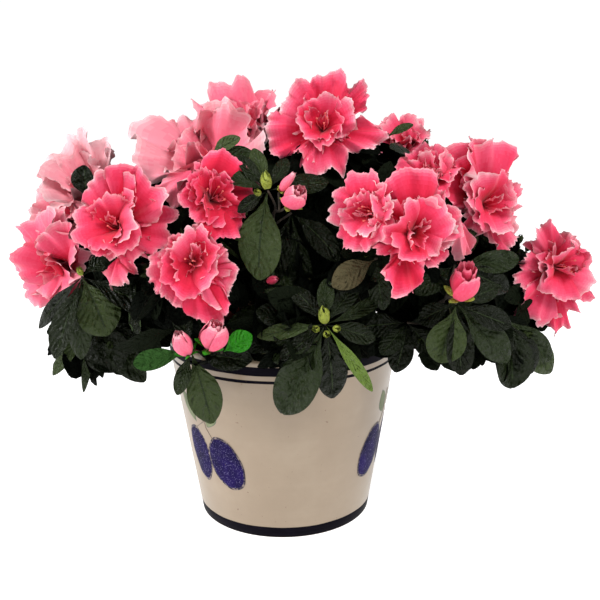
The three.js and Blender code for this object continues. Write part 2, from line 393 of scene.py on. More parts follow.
def painted_leaf_materials():
    body = Surface("leaf_paint", (108, 116, 88), 0.5, Specular_IOR_Level=0.1)
    body.paint(body.ramp(body.noise(160), (0.35, (98, 106, 78)), (0.7, (126, 132, 100))))
    edge = Surface("leaf_outline", (66, 80, 62), 0.35)
    stalk = Surface("stalk_paint", (112, 96, 78), 0.4)
    return [body.material, edge.material, stalk.material]


# ---- pot and soil

POT_HEIGHT = np.ptp(box_of("pot"), axis=0)[2]
POT_FOOT_RADIUS = 53.4
POT_RIM_RADIUS = 72.0
POT_WALL = 4.6
POT_FLOOR = 6.0
POT_SIDES = 288
FOOT_RINGS = ((25.0, 0.0), (50.0, 0.0), (52.7, 0.0), (53.2, 0.15))  # radius and height under the pot
WALL_STEP, EDGE_GAP = 3.0, 1.2  # between plain rings up the wall, and from them to a band's edge
LIP_STEPS, INNER_RINGS = 12, 14
SOIL_EDGE, SOIL_CROWN, SOIL_FLAT_RADIUS = 97.0, 99.5, 22.0
SOIL_SIDES, SOIL_RINGS = 160, 56
SOIL_GAP = 0.4  # from the pot's floor and wall
CRUMBS = 240
BAND_EDGES = ((0.4, 7.0), (101.7, 103.5), (106.6, 112.0))  # painted bands: from and to height
BAND_WAVER = 0.22
AXIS = 0.01  # a ring this small closes a turned solid


def pot_radius(height):
    return POT_FOOT_RADIUS + (POT_RIM_RADIUS - POT_FOOT_RADIUS) * height / POT_HEIGHT


def turned(pairs, sides):
    """A solid of revolution: one ring of points for each radius and height."""
    turns = turns_of(sides)
    radii, heights = np.array(pairs).T[..., None]
    return np.stack(np.broadcast_arrays(radii * np.cos(turns), radii * np.sin(turns), heights), -1)


def make_pot():
    lip = POT_WALL / 2
    lip_height = POT_HEIGHT - lip
    middle = pot_radius(lip_height) - lip
    edges = sorted(h for band in BAND_EDGES for h in band)
    steps = np.arange(10, lip_height, WALL_STEP)
    plain = [h for h in steps if min(abs(h - e) for e in edges) > EDGE_GAP]
    foot = [(AXIS, 0.0), *FOOT_RINGS, (pot_radius(edges[0]), edges[0])]
    outer = [(pot_radius(h), h) for h in sorted(plain + edges[1:] + [lip_height])]
    rim_turns = [step / LIP_STEPS * pi for step in range(1, LIP_STEPS + 1)]
    rim = [(middle + lip * cos(turn), lip_height + lip * sin(turn)) for turn in rim_turns]
    inner = [(pot_radius(h) - POT_WALL, h) for h in np.linspace(lip_height, POT_FLOOR, INNER_RINGS)[1:]]
    pairs = [*foot, *outer, *rim, *inner, (AXIS, POT_FLOOR)]
    points, turns = turned(pairs, POT_SIDES), turns_of(POT_SIDES)
    tones = np.zeros((len(pairs) - 1, POT_SIDES), int)
    for ring in range(len(foot), len(foot) + len(outer)):
        below, height = pairs[ring - 1][1], pairs[ring][1]
        if any(low < (below + height) / 2 < high for low, high in BAND_EDGES):
            tones[ring - 1] = 1
        if height in edges:
            waves = ((0.5, 3, 1), (0.3, 7, 2.3), (0.2, 17, -1))
            points[ring, :, 2] += BAND_WAVER * sum(a * np.sin(f * turns + p * ring) for a, f, p in waves)
    heap = Heap("glazed_pot", "glaze", [glaze_material(), band_material()])
    heap.add_grid(points, tones.ravel(), wrap=True)
    [piece] = heap.pieces()
    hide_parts("pot")
    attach(piece, "root")


def make_soil(rng):
    """Peat with a rough, mounded top and loose crumbs."""
    bottom = POT_FLOOR + SOIL_GAP
    wall = [(AXIS, bottom), (pot_radius(POT_FLOOR) - POT_WALL - 1, bottom)]
    edge = pot_radius(SOIL_EDGE) - POT_WALL - SOIL_GAP
    radii = np.linspace(edge, 0.4, SOIL_RINGS)
    heights = mix(SOIL_CROWN, SOIL_EDGE, smooth(SOIL_FLAT_RADIUS, edge, radii))
    points = turned([*wall, *zip(radii, heights)], SOIL_SIDES)
    top = points[len(wall) :]
    x, y = top[..., 0], top[..., 1]
    waves = ((0.5, 0.17, 0.3), (0.45, 0.41, 1.7), (0.3, 0.93, 4.1))
    lumps = sum(a * np.sin(x * f + p) * np.cos(y * f * 1.1 - p) for a, f, p in waves)
    top[..., 2] += lumps + rng.normal(0, 0.28, lumps.shape) - 0.6
    heap = Heap("peat_soil", "soil", [soil_material()])
    heap.add_grid(points, 0, wrap=True)
    for _ in range(CRUMBS):
        turn, out = rng.uniform(0, 2 * pi), edge * sqrt(rng.uniform(0.03, 0.94))
        place = (out * cos(turn), out * sin(turn), SOIL_EDGE + 1.2)
        add_crumb(heap, rng, place, rng.uniform(0.6, 2.1))
    [piece] = heap.pieces()
    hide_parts("soil")
    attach(piece, "root")


def add_crumb(heap, rng, place, size):
    """One lump of peat: a rough ball of 6 by 4 cells."""
    rise, turn = np.meshgrid(np.linspace(-1.5, 1.5, 5), turns_of(6), indexing="ij")
    ball = np.stack([np.cos(rise) * np.cos(turn), np.cos(rise) * np.sin(turn), np.sin(rise) * 0.7], -1)
    ball *= size * rng.uniform(0.7, 1.3, (*rise.shape, 1))
    heap.add_grid(ball + place, 0, wrap=True)


# The painted fruit: three motifs round the pot, each a bearing and a hand, one of them mirrored.
# Lengths are along the pot's face from the motif's middle: sideways, then up. A plum or a leaf is
# (sideways, up, half width, half height, tilt to the left in degrees).
MOTIFS = ((222.0, 1), (344.0, -1), (102.0, 1))
MOTIF_HEIGHT = 48.0
PLUMS = ((-7.4, 0.0, 10.2, 18.0, 10.0), (15.0, -1.6, 12.2, 17.2, 17.0))
PAINTED_LEAVES = ((-12.5, 30.0, 4.6, 11.5, 36.0), (8.5, 28.0, 5.4, 9.0, -24.0))
STALKS = (((1.2, 34.5), (2.0, 27.0), (3.4, 19.0), (7.5, 13.0)), ((2.6, 23.5), (-1.5, 20.5), (-8.0, 16.0)))
STALK_HALF_WIDTH = 0.5
PAINT_RELIEF = 0.22


def on_pot(sideways, up, motif, proud):
    """Points on the pot's face at lengths from a motif's middle, standing proud of the glaze."""
    bearing, hand = motif
    height = MOTIF_HEIGHT + up
    turn = radians(bearing) + hand * sideways / pot_radius(height)
    out = pot_radius(height) + proud
    return np.stack([out * np.cos(turn), out * np.sin(turn), height], -1)


def painted_oval(heap, motif, spec, pointed, lift):
    """A closed brush shape, ring by ring from its middle, with an outline of its own tone."""
    sideways, up, half_width, half_height, tilt = spec
    rings, sides = 12, 96
    share, turn = np.meshgrid(np.linspace(0.02, 1, rings + 1), turns_of(sides), indexing="ij")
    wobble = 1 + 0.02 * np.sin(3 * turn + up) + 0.012 * np.sin(7 * turn + sideways)
    x = share * half_width * np.cos(turn) * wobble
    y = share * half_height * np.sin(turn) * wobble
    if pointed:
        x = x * np.cos(np.clip(y / half_height, -1, 1) * 1.45) ** 0.6
    x, y = rotated(x, y, radians(tilt))
    proud = PAINT_RELIEF * (1 - share**6) + lift
    tones = np.repeat([0, 1], [(rings - 1) * sides, sides])
    heap.add_grid(on_pot(sideways + x, up + y, motif, proud), tones, wrap=True)


def painted_line(heap, motif, route, tone):
    """A brush line along a short route on the pot's face."""
    route = np.array(route, float)
    at = np.linspace(0, len(route) - 1, 25)[:, None]
    s, t = (np.interp(at, np.arange(len(route)), column) for column in route.T)
    ds, dt = np.gradient(s, axis=0), np.gradient(t, axis=0)
    length = np.hypot(ds, dt)
    sides = np.array([-1.0, -0.5, 0.0, 0.5, 1.0])
    swell = STALK_HALF_WIDTH * (0.75 + 0.25 * np.sin(at * 4)) * sides
    proud = 0.06 + PAINT_RELIEF * (1 - sides**2)
    heap.add_grid(on_pot(s - swell * dt / length, t + swell * ds / length, motif, proud), tone)


def make_painting():
    plums = Heap("painted_plums", "painted_plums", plum_materials())
    leaves = Heap("painted_leaves", "painted_leaves", painted_leaf_materials())
    for motif in MOTIFS:
        for number, plum in enumerate(PLUMS):
            painted_oval(plums, motif, plum, False, 0.03 + 0.12 * number)
        for leaf in PAINTED_LEAVES:
            painted_oval(leaves, motif, leaf, True, 0.03)
        for stalk in STALKS:
            painted_line(leaves, motif, stalk, 2)
    for piece in (*plums.pieces(), *leaves.pieces()):
        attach(piece, "root")


# ---- limbs and twigs


class Mass:
    """A mass of foliage: its CAD solid as rays see it, and its middle."""

    def __init__(self, name):
        self.name = name
        self.middle = sum(box_of(name)) / 2
        faces = [tuple(p.vertices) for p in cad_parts[name].data.polygons]
        self.tree = BVHTree.FromPolygons([Vector(p) for p in node_points(name)], faces)

    def hit(self, start, way, reach=1000.0):
        """Where a ray meets the mass, or None."""
        return self.tree.ray_cast(Vector(start), Vector(way), reach)[0]

    def skin(self, toward):
        """The outermost point of the mass from its middle in a direction."""
        met = self.hit(self.middle + unit(toward) * OUTSIDE_ANY_MASS, -unit(toward))
        return np.array(met) if met else self.middle.copy()


MASSES = {name: Mass(name) for name in sorted(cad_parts) if name.startswith("foliage_")}
BOUGHS = [name for name in sorted(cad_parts) if name.startswith("bough_")]
CROWN_MIDDLE = np.mean([m.middle for m in MASSES.values()], axis=0)
# How far rays look for the rest of the crown: towards the sky, and straight out from a point.
SKY_REACH, OPEN_REACH = 90, 60
OUTSIDE_ANY_MASS = 200
SKY_RAYS = 14
SKY = [
    direction(GOLDEN_DEGREES * n, degrees(asin(1 - (n + 0.5) / SKY_RAYS))) for n in range(SKY_RAYS)
]


def shade_at(point, facing):
    """The share of the sky round a direction that the rest of the crown hides from a point."""
    axes, start = axes_from(facing, (0.2, 0.1, 1.0)), point + facing * 3
    rays = [way[2] * axes[0] + way[0] * axes[1] + way[1] * axes[2] for way in SKY]
    return sum(any(m.hit(start, ray, SKY_REACH) for m in MASSES.values()) for ray in rays) / SKY_RAYS


def exposed(point, outward, owner):
    """Whether nothing else of the crown lies just outside a point."""
    others = [m for m in MASSES.values() if m.name != owner]
    return not any(m.hit(point + outward * 2.0, outward, OPEN_REACH) for m in others)


def sections(name, count, far_from):
    """Middles and radii of a CAD limb's cross-sections, from its root to its tip."""
    points = node_points(name)
    away = norm(points - far_from, axis=1)
    root, tip = points[away.argmax()], points[away.argmin()]
    along = (points - root) @ unit(tip - root)
    edges = np.array([e.vertices[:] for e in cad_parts[name].data.edges])
    low, high = along[edges[:, 0]], along[edges[:, 1]]
    path = []
    for share in np.linspace(0.05, 0.95, count):
        level = along.min() + (along.max() - along.min()) * share
        cut = (low - level) * (high - level) < 0
        part = ((level - low) / (high - low + 1e-12))[cut, None]
        ring = points[edges[cut, 0]] * (1 - part) + points[edges[cut, 1]] * part
        if len(ring) >= 3:
            middle = (ring.min(0) + ring.max(0)) / 2
            path.append((middle, float(np.median(norm(ring - middle, axis=1)))))
    return path


def curve_through(points, steps):
    """Catmull-Rom points through a short list, with steps for each stretch."""
    p = np.array([2 * points[0] - points[1], *points, 2 * points[-1] - points[-2]], float)
    t = np.linspace(0, 1, steps, endpoint=False)[:, None]
    out = []
    for a, b, c, d in zip(p, p[1:], p[2:], p[3:]):
        bend = (2 * a - 5 * b + 4 * c - d) * t**2 + (3 * b - a - 3 * c + d) * t**3
        out.append(0.5 * (2 * b + (c - a) * t + bend))
    return np.concatenate([*out, p[-2:-1]])


def add_tube(heap, path, radii, sides, tone=0, ridges=0.0, phase=0.0):
    """A limb along a path. ridges is the depth of its bark as a share of its radius."""
    path = np.asarray(path, float)
    tangents = np.gradient(path, axis=0)
    normal = np.cross(tangents[0], (0.36, 0.48, 0.8))
    turns = turns_of(sides)
    rings = [np.tile(path[0], (sides, 1))]
    for at, (point, tangent, radius) in enumerate(zip(path, tangents, radii)):
        tangent = unit(tangent)
        normal = unit(normal - tangent * np.dot(normal, tangent))
        relief = 1 + ridges * (
            0.5 * np.sin(5 * turns + phase + 0.35 * at)
            + 0.35 * np.sin(11 * turns - phase - 0.2 * at)
            + 0.35 * np.sin(0.9 * at + 3 * turns + phase)
        )
        side = around((tangent, normal, np.cross(tangent, normal)), turns)
        rings.append(point + (radius * relief)[:, None] * side)
    rings.append(np.tile(path[-1], (sides, 1)))
    heap.add_grid(np.array(rings), tone, wrap=True)


def make_limbs():
    """The stem and boughs with bark relief. Returns each bough's tip and direction."""
    heap = Heap("bark_limbs", "bark", [bark_material()])
    low, high = box_of("stem")
    foot = np.array([0.0, 0.0, low[2]])
    head = np.array([(low[0] + high[0]) / 2 + 1.6, 0.0, high[2] - 1.5])
    path = curve_through([foot, mix(foot, head, 0.5), head], 14)
    share = np.linspace(0, 1, len(path))
    rounding = np.sqrt(np.clip(1 - np.maximum(0, share - 0.8) ** 2 * 14, 0.3, 1))
    add_tube(heap, path, (7.6 + 6.5 * np.exp(-share * 6)) * rounding, 28, ridges=0.12)
    tips = {}
    for number, name in enumerate(BOUGHS):
        mass = MASSES[name.replace("bough_", "foliage_")]
        middles, radii = zip(*sections(name, 6, mass.middle))
        start = middles[0] - unit(middles[1] - middles[0]) * 4
        end = middles[-1] + unit(middles[-1] - middles[-2]) * 4
        path = curve_through([start, *middles, end], 7)
        radii = np.interp(np.linspace(0, 1, len(path)), np.linspace(0, 1, len(radii)), radii)
        add_tube(heap, path, radii, 16, ridges=0.10, phase=number)
        tips[mass.name] = (path[-1], unit(path[-1] - path[-4]), radii[-1])
    [piece] = heap.pieces()
    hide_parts("stem", *BOUGHS)
    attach(piece, "root")
    return tips


def grow(heap, rng, start, heading, radius, targets):
    """Branches from a point until each target has a twig of its own; returns the twigs' headings."""
    if len(targets) == 1:
        end = targets[0]
        gap = norm(end - start)
        bend = start + heading * gap * 0.4 + rng.normal(0, 0.04, 3) * gap
        path = curve_through([start, bend, end], 4)
        add_tube(heap, path, np.linspace(radius, 0.65, len(path)), 5)
        return [unit(path[-1] - path[-3])]
    spread = np.array(targets)
    first = spread[rng.integers(len(spread))]
    far = spread[norm(spread - first, axis=1).argmax()]
    other = spread[norm(spread - far, axis=1).argmax()]
    near_far = norm(spread - far, axis=1) < norm(spread - other, axis=1)
    headings = [None] * len(targets)
    for chosen in (near_far, ~near_far):
        group = np.flatnonzero(chosen)
        if len(group) == 0:
            continue
        if len(group) == 1:
            fork, ahead, thick = start, heading, radius * 0.7
        else:
            fork = mix(start, spread[group].mean(0), 0.36) + rng.normal(0, 2.0, 3)
            bend = mix(start, fork, 0.5) + heading * norm(fork - start) * 0.12
            path = curve_through([start, bend, fork], 3)
            thick = max(0.9, radius * 0.78)
            add_tube(heap, path, np.linspace(radius, thick, len(path)), 6)
            ahead = unit(path[-1] - path[-3])
        for i, way in zip(group, grow(heap, rng, fork, ahead, thick, [targets[i] for i in group])):
            headings[i] = way
    return headings


# ---- leaves

# A blade's rows, and the lines along it as shares of its half width.
FINE_BLADE = (13, (-1.0, -0.7, -0.3, -0.05, 0.05, 0.3, 0.7, 1.0))
PLAIN_BLADE = (6, (-1.0, -0.5, 0.0, 0.5, 1.0))
SMALL_BLADE = (6, (-1.0, 0.0, 1.0))
LEAF_DROOP = 0.25
# Whorls of leaves: how many, least and greatest length, and least and greatest tilt.
UNDER_BLOOM = (7, (24, 38), (72, 100))
ROUND_TIP = (8, (20, 38), (30, 92))
ALONG_TWIG = (4, (24, 36), (50, 85))


def add_leaf(heap, rng, base, along, up, length, width, top, under, arch=0.5, blade=PLAIN_BLADE, twist=None):
    """One blade with a midrib and a paler underside, closed at its margin."""
    rows, lines = blade
    v = np.array(lines)[None, :]
    share = 1 - (1 - np.linspace(0, 1, rows + 1)) ** 1.35
    outline = np.sin(pi * np.clip(share, 0.012, 0.994) ** 1.4) ** 0.62
    outline *= mix(0.22, 1.0, smooth(0.0, 0.42, share))
    half = (outline * width / 2)[:, None]
    bend = rng.uniform(0.05, 0.4) - arch * (0.2 + 1.1 * share**1.2)
    steps = np.diff(share) * length
    share, turns = share[:, None], bend[:-1]
    x, z = (np.concatenate([[0], np.cumsum(way(turns) * steps)])[:, None] for way in (np.cos, np.sin))
    turn = (rng.normal(0, 0.25) if twist is None else twist) * share
    sway = 0.05 * length * rng.normal() * share**2
    y = v * half
    lift = rng.uniform(-0.04, 0.42) * np.abs(y) - 0.22 * np.maximum(np.abs(v) - 0.55, 0) * half
    lift = lift + 0.07 * half * np.sin(share * 8 + rng.uniform(0, 6)) * v * np.abs(v)
    lift = lift - 0.045 * width * np.exp(-((v / 0.12) ** 2)) * np.sin(pi * share) ** 0.5
    y, lift = rotated(y, lift, turn)
    normal_x, normal_z = -np.sin(bend)[:, None], np.cos(bend)[:, None]
    flat = np.stack([x + normal_x * lift, y + sway, z + normal_z * lift], -1)
    thick = (np.abs(v) < 1) * 0.32 + np.exp(-((v / 0.1) ** 2)) * 0.5 + 0 * share
    thick[-1] = 0
    below = flat - np.stack([normal_x * thick, 0 * thick, normal_z * thick], -1)
    points = np.stack([flat, below]).reshape(-1, 3) @ axes_from(along, up) + base
    faces = grid_faces(rows, len(lines) - 1)
    uv = np.stack(np.broadcast_arrays(share, v), -1).reshape(-1, 2)
    tones = np.repeat([top, under], len(faces))
    if blade is FINE_BLADE and top < UNDERSIDE:
        tones[3 : len(faces) * 3 // 4 : len(lines) - 1] = RIB
    faces = np.concatenate([faces, faces[:, ::-1] + len(uv)])
    heap.add(points, faces, tones, np.concatenate([uv, uv]))


class Clearings:
    """Rooms in front of blooms and shoot tips that no stray leaf grows into."""

    def __init__(self):
        self.rooms = []

    def add(self, base, facing, size):
        self.rooms.append((*base, *facing, size))

    def blocked(self, points):
        rooms = np.array(self.rooms)
        facings, sizes = rooms[:, 3:6], rooms[:, 6]
        v = points[:, None] - rooms[:, :3]
        height = (v * facings).sum(-1)
        out = norm(v - height[..., None] * facings, axis=-1)
        inside = (height > -2) & (height < 55 * sizes) & (out < np.minimum(6 + 1.9 * height, 32) * sizes)
        return bool(inside.any())


# The crown's outline for what grows by rule. Across: its peak, its right shoulder, the notch beside
# that, and its two sides, which hold below a height. Upright: its top, and how low leaves may hang
# before the pot's face, to the right of it and elsewhere.
CROWN_PEAK_AT, SHOULDER_AT, NOTCH_AT = 15, 105, 118
CROWN_LEFT, CROWN_RIGHT, SIDES_BELOW = -143, 164, 142
POT_FACE, POT_FACE_LOW, RIGHT_LOW, SKIRT_LOW = 80, 114, 108, 97
CROWN_TOP = 236


def head_room(point, notch=45):
    """How high leaves and blooms of the rule may stand: highest over the middle, with a notch."""
    x = point[0]
    slope = 0.30 * abs(x - CROWN_PEAK_AT) + 0.8 * max(0, x - SHOULDER_AT)
    return CROWN_TOP - slope - notch * exp(-(((x - NOTCH_AT) / 10) ** 2))


def outside(reach):
    """Whether a leaf of the rule would leave the crown's outline, or hang over the pot's face."""
    x, y, z = reach[2]
    low = POT_FACE_LOW if abs(x) < POT_FACE and y < 0 else RIGHT_LOW if 0 < x < NOTCH_AT else SKIRT_LOW
    beside = z < SIDES_BELOW and not CROWN_LEFT < x < CROWN_RIGHT
    return z > head_room(reach[2]) + 6 or z < low or beside


def add_whorl(heap, rng, clearings, tip, axis, count, lengths, tilts, shade):
    """Leaves round a shoot's tip: the outer ones longer and flatter than the inner ones."""
    start = rng.uniform(0, 2 * pi)
    spray = rng.integers(UNDERSIDE)
    # Painted shade: the more sky the crown hides from the shoot, the likelier its whorl takes the painted
    # shade greens.
    if rng.uniform() < shade * 1.4:
        spray = PAINTED_SHADE + rng.integers(len(LEAF_PAINTED_SHADE))
    axes = axes_from(axis, (0.2, 0.1, 1.0))
    for n in range(count):
        share = n / max(1, count - 1)
        tilt = radians(mix(tilts[1], tilts[0], share) + rng.normal(0, 8))
        side = around(axes, start + n * GOLDEN_ANGLE)
        along = cos(tilt) * axes[0] + sin(tilt) * side
        along[2] -= LEAF_DROOP * sin(tilt)
        along = unit(along)
        length = mix(lengths[1], lengths[0], share) * rng.uniform(0.82, 1.12)
        base = tip - axes[0] * (1 - share) * 7 + side * 0.8
        reach = base + along * length * np.array([[0.3], [0.65], [1.0]])
        if clearings.blocked(reach) or outside(reach):
            continue
        top = spray if spray >= PAINTED_SHADE or rng.uniform() < 0.6 else rng.integers(UNDERSIDE)
        width = length * rng.uniform(0.42, 0.58)
        blade = SMALL_BLADE if shade > 0.6 and top >= PAINTED_SHADE else PLAIN_BLADE
        under = UNDERSIDE + rng.integers(2) if top < UNDERSIDE else top
        up = axes[0] + np.array([0, 0, 0.25])
        add_leaf(heap, rng, base, along, up, length, width, top, under, rng.uniform(0.3, 0.7), blade)


# ---- blooms and buds

# A bloom is whorls of fanned petals round a heart of wrapped ones. A whorl: how many petals,
# length, half spread, lean from the bloom's axis at the base and at the tip (degrees), depth of
# the frill, how far each is folded, and shift of tone. The heart: how many petals, length, outer
# and inner radius, depth of the frill and shift of tone. Last: how deeply the rims are lobed.
OPEN = (
    ((5, 35, 46, 32, 88, 4.2, 0.8, 0.04), (4, 28, 48, 18, 60, 4.4, 1.1, 0.0)),
    (5, 20.0, 12.0, 4.0, 2.8, -0.03), 1.2,
)
CUPPED = (
    ((5, 34, 47, 30, 74, 4.0, 0.8, 0.05), (4, 27, 48, 16, 48, 4.2, 1.1, 0.02)),
    (4, 19.0, 11.0, 4.0, 2.8, -0.03), 1.2,
)
BROAD = (
    ((4, 40, 56, 34, 68, 3.6, 0.7, 0.05), (4, 33, 50, 20, 44, 3.8, 1.0, 0.0)),
    (3, 22.0, 13.0, 6.0, 3.0, -0.04), 1.5,
)
TALL = (
    ((5, 42, 44, 24, 50, 5.4, 0.8, 0.05), (4, 36, 42, 14, 34, 5.0, 1.1, 0.0)),
    (3, 24.0, 10.0, 5.0, 3.0, -0.04), 2.3,
)
WIDE = (
    ((6, 42, 44, 36, 72, 6.4, 0.8, 0.05), (4, 35, 46, 22, 48, 5.6, 1.0, 0.0)),
    (3, 22.0, 12.0, 6.0, 3.0, -0.04), 1.8,
)
# The inside alone; the bloom's outer petals are listed one by one.
INNER = (((4, 30, 52, 18, 62, 3.8, 1.0, 0.0),), (4, 21.0, 13.0, 4.5, 2.6, -0.03), 1.1)
FINE, PLAIN = (14, 60), (9, 22)  # a petal's cells


def petal_points(rng, length, spread, lean_base, lean_tip, frill, cup, cells, lobes):
    """A ruffled petal as a fan: how far out, across and along the axis, and each point's shares."""
    t, f = share_grid(cells, 1.45, 0.04)
    phase = rng.uniform(0, 2 * pi, 12)
    edge = 1 - rng.uniform(0.24, 0.40) * np.abs(f) ** 3
    edge -= rng.uniform(-0.02, 0.10) * np.exp(-(((f - rng.normal(0, 0.15)) / 0.2) ** 2))
    edge += lobes * (0.050 * np.sin(3.4 * f + phase[0]) + 0.034 * np.sin(8.5 * f + phase[1]))
    uneven = 0.6 + 0.5 * np.sin(5.3 * f + phase[11])
    edge += 0.018 * uneven * np.sin(16 * f + phase[2] + 1.6 * np.sin(4 * f + phase[9]))
    edge += 0.010 * (1.2 - uneven) * np.sin(33 * f + phase[9] + 2 * np.sin(3 * f + phase[10]))
    edge += rng.normal(0, 0.25 / length, cells[1] + 1)
    reach = t * mix(1.0, edge, t**3)
    girth = mix(0.86, 1.0, smooth(0.1, 0.6, t)) - 0.14 * smooth(0.6, 1.05, t)
    angle = f * radians(spread) * girth
    run, across = length * reach * np.cos(angle), length * reach * np.sin(angle)
    rim = 9 * (1 - t) * f * np.abs(f)
    beside = f**4 * smooth(0.25, 0.6, t)
    lift = frill * (
        0.75 * t**1.5 * np.sin(3.3 * f + phase[3] + 0.4 * rim) * (0.4 + 0.6 * np.abs(f))
        + 0.60 * np.maximum(t**3, 0.7 * beside) * np.sin(7.6 * f + phase[4] + rim + 1.2 * t)
        + 0.34 * np.maximum(t**7, 0.6 * beside) * np.sin(14 * f + phase[5] + 2 * rim)
        + 0.26 * uneven * np.maximum(t**12, 0.6 * beside**2) * np.sin(23 * f + phase[6] + 3 * rim)
        + 0.16 * (1.2 - uneven) * t**16 * np.sin(41 * f + phase[10])
    )
    lift += 0.25 * np.sin(9 * t + 3 * f + phase[7]) * np.sin(7 * f + phase[8]) * t
    lift += mix(1.2 * cup, cup - 1 + rng.uniform(-0.7, 0.4), t) * across**2 / length * 0.8
    twist = rng.normal(0, 0.2 * cup) * t
    across, lift = rotated(across, lift, twist)
    fine = np.linspace(0, length * 1.15, 60)
    lean = np.radians(mix(lean_base, lean_tip, smooth(0.0, 1.0, fine / length)))
    walks = [np.concatenate([[0], np.cumsum(way(lean[:-1]) * np.diff(fine))]) for way in (np.sin, np.cos)]
    out, rise = (np.interp(run, fine, walk) for walk in walks)
    here = np.interp(run, fine, lean)
    return out - np.cos(here) * lift, across, rise + np.sin(here) * lift, t, f


def heart_points(rng, length, radius, half_turn, frill, cells):
    """A petal wrapped round the bloom's middle: its radius, turn and height, and its shares."""
    t, f = share_grid(cells, 1.4, 0.04)
    phase = rng.uniform(0, 2 * pi, 8)
    edge = 1 - rng.uniform(0.2, 0.4) * np.abs(f) ** 3 + 0.06 * np.sin(3.1 * f + phase[0])
    edge += 0.035 * np.sin(8 * f + phase[1]) + 0.015 * np.sin(19 * f + phase[2])
    ruffle = frill * (
        0.70 * t**2 * np.sin(3.6 * f + phase[3])
        + 0.50 * t**4 * np.sin(8.5 * f + phase[4])
        + 0.24 * t**9 * np.sin(17 * f + phase[5])
        + 0.16 * t**14 * np.sin(31 * f + phase[6])
    )
    out = radius * (0.2 + 0.8 * smooth(0, 0.9, t) + rng.uniform(-0.1, 0.6) * t**4) + ruffle
    return np.maximum(out, 0.6), f * half_turn * (1 - 0.25 * t**3), length * t * edge + 0.3 * ruffle, t, f


def blossom_tones(share):
    """The numbers of the nearest blossom materials."""
    return np.clip(np.rint(share * (BLOSSOM_TONES - 1)), 0, BLOSSOM_TONES - 1).astype(int).ravel()


def petal_tones(rng, t, f, length, shift, gain):
    """Throat deep, partly painted shade; rose over the blade, paler towards the margin and palest at it."""
    from_side = (1 - np.abs(f)) * length * 0.7 * t + 6 * (1 - smooth(0.3, 0.6, t))
    from_edge = np.minimum((1 - t) * length, from_side)
    margin = 0.80 * np.exp(-((from_edge / 3.7) ** 1.2)) + 0.20 * np.exp(-((from_edge / 1.2) ** 2))
    tone = 0.05 + 0.24 * smooth(0.08, 0.75, t) + 0.05 * smooth(0.6, 1.0, t) + 0.51 * margin
    streaks = np.sin(17 * f + rng.uniform(0, 6)) * 0.6 + np.sin(29 * f + rng.uniform(0, 6)) * 0.4
    tone = tone + 0.045 * streaks * np.sin(pi * t) + rng.normal(0, 0.05)
    tone = shift + gain * (tone + 0.07 * np.sin(3 * t + 2.5 * f + rng.uniform(0, 6)))
    middle = (tone[:-1, :-1] + tone[1:, :-1] + tone[:-1, 1:] + tone[1:, 1:]) / 4
    return blossom_tones(middle + rng.normal(0, 0.012, middle.shape))


def lay_petal(heap, rng, base, axes, turn, shape, shift, gain, hand=1):
    """One ruffled petal turned round a bloom's axis; a hand of -1 mirrors it."""
    r, across, h, t, f = petal_points(rng, *shape)
    beside = hand * across[..., None] * around(axes, turn + pi / 2)
    points = base + r[..., None] * around(axes, turn) + beside + h[..., None] * axes[0]
    heap.add_grid(points, petal_tones(rng, t, f, shape[0], shift, gain))


def add_bloom(heap, rng, base, facing, size, kind, shift, gain, cells, roll):
    """A double, frilled bloom; size is its share of full size."""
    whorls, heart, lobes = kind
    axes = axes_from(facing)
    roll = rng.uniform(0, 2 * pi) if roll is None else roll
    for number, (count, length, spread, lean_base, lean_tip, frill, cup, own_shift) in enumerate(whorls):
        for n in range(count):
            turn = roll + (n + 0.5 * (number % 2)) * 2 * pi / count + rng.normal(0, 0.12 + 0.1 * number)
            long = length * size * rng.uniform(0.84, 1.12)
            tip = lean_tip + rng.normal(0, 11) - 12 * around(axes, turn)[2]
            shape = (long, spread, lean_base, tip, frill * size, cup, cells, lobes)
            lay_petal(heap, rng, base, axes, turn, shape, shift + own_shift, gain)
    count, length, outer, inner, frill, own_shift = heart
    cells = (cells[0] * 3 // 4, cells[1] * 3 // 4)
    for n in range(count):
        radius = size * mix(outer, inner, n / max(1, count - 1))
        long, half_turn = length * size * rng.uniform(0.82, 1.1), radians(rng.uniform(54, 82))
        r, swing, h, t, f = heart_points(rng, long, radius, half_turn, frill * size, cells)
        side = around(axes, roll + swing + n * GOLDEN_ANGLE + rng.normal(0, 0.2))
        lean = rng.normal(0, 0.16, 2) @ axes[1:]
        points = base + r[..., None] * side + h[..., None] * (axes[0] + lean)
        heap.add_grid(points, petal_tones(rng, t, f, long, shift + own_shift, gain))


def add_petal(heap, rng, base, facing, clock, length, spread, lean, lobes, shift, gain):
    """One petal alone, turned to a clock angle seen from outside."""
    shape = (length, spread, lean - 25, lean, 5.4, 0.8, FINE, lobes)
    turn = pi / 2 - radians(clock)
    lay_petal(heap, rng, base, axes_from(facing), turn, shape, shift, gain, -1)


def add_stamens(heap, rng, base, facing, size):
    axes = axes_from(facing)
    for n in range(4):
        side = around(axes, n * GOLDEN_ANGLE + rng.uniform(0, 0.5))
        lean = radians(rng.uniform(6, 24))
        end = base + size * rng.uniform(15, 20) * (cos(lean) * axes[0] + sin(lean) * side)
        path = curve_through([base, mix(base, end, 0.5) + side * 1.4, end], 3)
        add_tube(heap, path, np.full(len(path), 0.24), 5)
        ahead = unit(path[-1] - path[-2])
        add_tube(heap, [end - ahead * 0.3, end + ahead * 0.5, end + ahead * 1.4], [0.4, 0.6, 0.3], 6, 1)


def add_calyx(heap, rng, base, facing, size, tone):
    """Small green sepals under a bloom or bud."""
    axes = axes_from(facing)
    for n in range(5):
        side = around(axes, n * 2 * pi / 5 + rng.uniform(0, 0.4))
        along = mix(axes[0], side, 0.42)
        add_leaf(heap, rng, base, along, side, 8 * size, 3.4 * size, tone, tone, -0.3, SMALL_BLADE)


